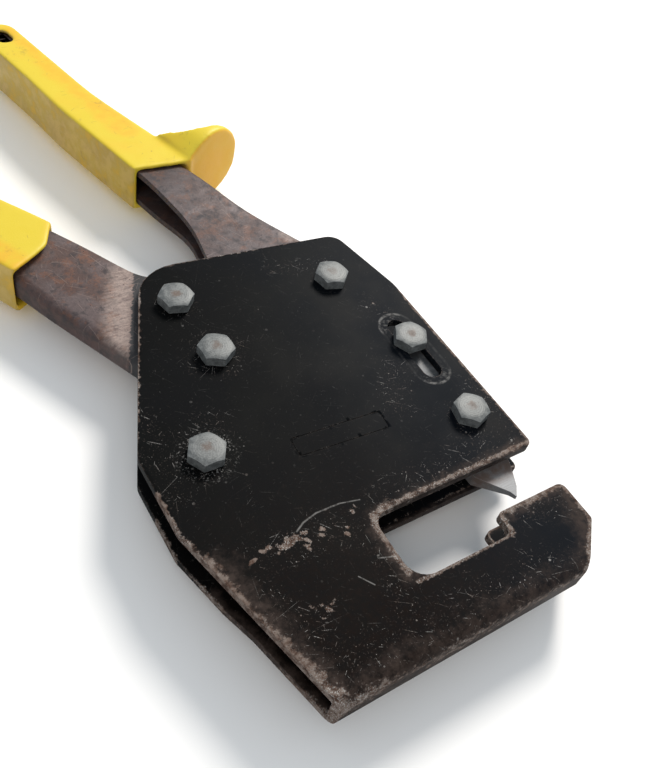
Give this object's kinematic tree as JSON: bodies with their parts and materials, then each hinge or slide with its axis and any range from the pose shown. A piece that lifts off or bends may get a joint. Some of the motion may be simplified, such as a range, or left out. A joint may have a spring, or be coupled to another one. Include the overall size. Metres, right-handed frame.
{
  "type": "steel stud punch",
  "caption": "Two-handled sheet-metal stud punch: folded steel body with a C-shaped throat, lever-driven sliding punch, one fixed and one swinging channel handle in vinyl sleeves.",
  "frame": {"origin": "centre of the tool's footprint as it lies on its nuts, at the lowest point of the bolt ends", "axes": "+X along the throat towards its open mouth, +Y from the jaw towards the handles, +Z out of the front sheet, on the bolt heads' side"},
  "size_m": [0.19, 0.3362, 0.033],
  "materials": {
    "black_paint": "semi-gloss, scratched, worn to grey-brown steel at the edges",
    "handle_steel": "mottled light rust on bare sheet steel",
    "yellow_vinyl": "satin, dirty on the sides",
    "zinc": "dull zinc with small rust spots",
    "tool_steel": "ground, satin",
    "dark_steel": "oiled dark steel"
  },
  "bodies": {
    "frame": {"body_plate": "black_paint", "fixed_handle": "handle_steel", "fixed_grip": "yellow_vinyl", "bolt_handle_top": "zinc", "bolt_handle_low": "zinc", "bolt_arm_pivot": "zinc", "bolt_handle_pivot": "zinc", "bolt_ram_guide": "zinc", "nut_handle_top": "zinc", "nut_handle_low": "zinc", "nut_arm_pivot": "zinc", "nut_handle_pivot": "zinc", "nut_ram_guide": "zinc", "handle_spacer_top": "zinc", "handle_spacer_low": "zinc", "arm_bush": "tool_steel", "handle_bush": "tool_steel", "guide_roller": "tool_steel", "arm_washer_front": "zinc", "arm_washer_back": "zinc"},
    "moving_handle": {"moving_handle": "handle_steel", "moving_grip": "yellow_vinyl", "drive_pin": "tool_steel"},
    "drive_arm": {"drive_arm": "dark_steel"},
    "ram": {"ram_cheek_front": "dark_steel", "ram_cheek_back": "dark_steel", "punch_blade": "tool_steel", "ram_rivet_1": "zinc", "ram_rivet_2": "zinc", "ram_roller": "tool_steel", "bolt_ram": "zinc", "nut_ram": "zinc"}
  },
  "joints": [
    {"name": "handle_swing", "type": "hinge", "parent": "frame", "child": "moving_handle", "pos_m": [0.07266, -0.03197, 0.0155], "axis": [0, 0, 1], "range_deg": [-9.9, 19]},
    {"name": "arm_swing", "type": "hinge", "parent": "frame", "child": "drive_arm", "pos_m": [-0.00454, -0.08486, 0.0155], "axis": [0, 0, 1], "range_deg": [-9.4, 4.95]},
    {"name": "ram_slide", "type": "slide", "parent": "frame", "child": "ram", "axis": [0, -1, 0], "range_m": [-0.00742, 0.01425]}
  ],
  "couplings": [
    {"joint": "arm_swing", "follows": "handle_swing", "ratio": -0.492},
    {"joint": "ram_slide", "follows": "handle_swing", "m_per_rad": 0.0428}
  ]
}
